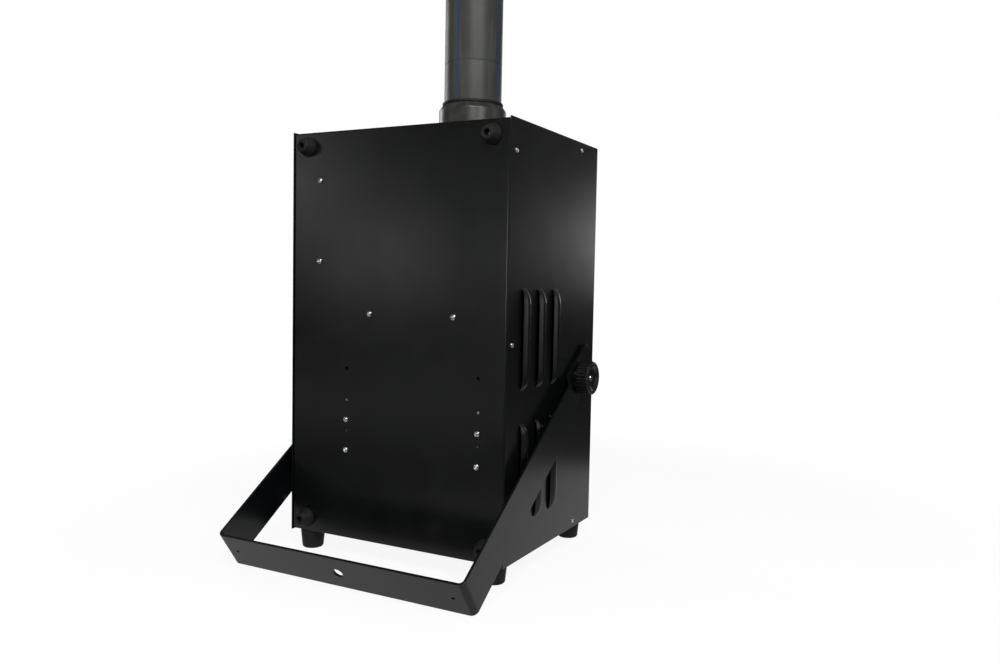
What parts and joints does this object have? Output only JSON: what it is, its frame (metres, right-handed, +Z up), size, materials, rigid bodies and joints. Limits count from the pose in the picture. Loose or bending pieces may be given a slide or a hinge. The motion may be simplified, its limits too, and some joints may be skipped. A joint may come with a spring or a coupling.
{
  "type": "confetti blower",
  "caption": "Sheet-metal stage confetti blower with an upright outlet pipe, louvred cover, swinging U yoke with clamp knobs, loading door and rubber feet.",
  "frame": {"origin": "on the floor, under the middle of the overall outline", "axes": "+Z up along the outlet pipe, +X to the right seen from the rear panel, -Y out of the rear panel with its four feet, +Y towards the loading door"},
  "size_m": [0.3622, 0.3964, 1.0335],
  "materials": {
    "box_paint": "satin black powder coat",
    "yoke_paint": "satin dark grey powder coat",
    "foot_rubber": "matte black rubber",
    "knob_plastic": "moulded black plastic",
    "bright_steel": "bright nickel plate",
    "pipe_plastic": "extruded grey-black plastic with blue stripes",
    "collar_plastic": "turned black plastic",
    "nylon": "natural nylon",
    "zinc_plate": "zinc-plated steel",
    "motor_metal": "plain steel",
    "black_plastic": "moulded black plastic",
    "switch_plastic": "red switch plastic",
    "board_green": "green solder resist",
    "display_window": "clear tinted window over a dark display"
  },
  "bodies": {
    "root": {"air_nozzle": "black_plastic", "base_foot_front_left": "foot_rubber", "base_foot_front_right": "foot_rubber", "base_foot_rear_left": "foot_rubber", "base_foot_rear_right": "foot_rubber", "blower_bracket": "zinc_plate", "blower_case": "zinc_plate", "board_screw_lower": "bright_steel", "board_screw_upper": "bright_steel", "board_standoff_lower": "zinc_plate", "board_standoff_upper": "zinc_plate", "bracket_screw_left_lower": "bright_steel", "bracket_screw_left_upper": "bright_steel", "bracket_screw_right_lower": "bright_steel", "bracket_screw_right_upper": "bright_steel", "chassis": "box_paint", "control_board": "board_green", "cover": "box_paint", "display_plate": "black_plastic", "display_window": "display_window", "friction_washer_left": "nylon", "friction_washer_right": "nylon", "hinge_leaf": "box_paint", "hinge_pin": "bright_steel", "hopper": "zinc_plate", "magnet_catch": "black_plastic", "mixing_tee": "black_plastic", "motor_body": "motor_metal", "outlet_collar": "collar_plastic", "outlet_pipe": "pipe_plastic", "pipe_clamp": "zinc_plate", "pipe_clamp_screw_left": "bright_steel", "pipe_clamp_screw_right": "bright_steel", "power_inlet": "black_plastic", "rear_foot_lower_left": "foot_rubber", "rear_foot_lower_right": "foot_rubber", "rear_foot_upper_left": "foot_rubber", "rear_foot_upper_right": "foot_rubber", "signal_in": "black_plastic", "signal_out": "black_plastic", "switch_frame": "black_plastic"},
    "yoke": {"yoke": "yoke_paint"},
    "left_washer": {"clamp_washer_left": "zinc_plate"},
    "left_clamp": {"clamp_knob_left": "knob_plastic", "clamp_stud_left": "bright_steel"},
    "right_washer": {"clamp_washer_right": "zinc_plate"},
    "right_clamp": {"clamp_knob_right": "knob_plastic", "clamp_stud_right": "bright_steel"},
    "door": {"loading_door": "box_paint", "door_pull": "black_plastic"},
    "rocker": {"switch_rocker": "switch_plastic"},
    "fan": {"impeller": "nylon", "motor_shaft": "bright_steel"},
    "button_1": {"menu_button_1": "black_plastic"},
    "button_2": {"menu_button_2": "black_plastic"},
    "button_3": {"menu_button_3": "black_plastic"},
    "button_4": {"menu_button_4": "black_plastic"}
  },
  "joints": [
    {"name": "yoke_swing", "type": "hinge", "parent": "root", "child": "yoke", "pos_m": [0, 0.11574, 0.2257], "axis": [1, 0, 0], "range_deg": [-78, 232]},
    {"name": "left_clamp_travel", "type": "slide", "parent": "root", "child": "left_washer", "axis": [-1, 0, 0], "range_m": [0, 0.003]},
    {"name": "left_clamp_turn", "type": "hinge", "parent": "left_washer", "child": "left_clamp", "pos_m": [-0.1628, 0.11574, 0.2257], "axis": [-1, 0, 0], "range_deg": [0, 720]},
    {"name": "right_clamp_travel", "type": "slide", "parent": "root", "child": "right_washer", "axis": [1, 0, 0], "range_m": [0, 0.003]},
    {"name": "right_clamp_turn", "type": "hinge", "parent": "right_washer", "child": "right_clamp", "pos_m": [0.1628, 0.11574, 0.2257], "axis": [1, 0, 0], "range_deg": [0, 720]},
    {"name": "door_hinge", "type": "hinge", "parent": "root", "child": "door", "pos_m": [0.0245, 0.18024, 0.3442], "axis": [-1, 0, 0], "range_deg": [0, 110]},
    {"name": "rocker_tilt", "type": "hinge", "parent": "root", "child": "rocker", "pos_m": [0.042, 0.17324, 0.0775], "axis": [-1, 0, 0], "range_deg": [0, 20]},
    {"name": "fan_spin", "type": "hinge", "parent": "root", "child": "fan", "pos_m": [0.0245, 0.05794, 0.16], "axis": [0, 0, 1], "continuous": true},
    {"name": "button_1_press", "type": "slide", "parent": "root", "child": "button_1", "axis": [0, -1, 0], "range_m": [0, 0.0015], "stiffness_N_per_m": 300},
    {"name": "button_2_press", "type": "slide", "parent": "root", "child": "button_2", "axis": [0, -1, 0], "range_m": [0, 0.0015], "stiffness_N_per_m": 300},
    {"name": "button_3_press", "type": "slide", "parent": "root", "child": "button_3", "axis": [0, -1, 0], "range_m": [0, 0.0015], "stiffness_N_per_m": 300},
    {"name": "button_4_press", "type": "slide", "parent": "root", "child": "button_4", "axis": [0, -1, 0], "range_m": [0, 0.0015], "stiffness_N_per_m": 300}
  ],
  "couplings": [
    {"joint": "left_clamp_travel", "follows": "left_clamp_turn", "m_per_rad": 0.00023872},
    {"joint": "right_clamp_travel", "follows": "right_clamp_turn", "m_per_rad": 0.00023872}
  ]
}
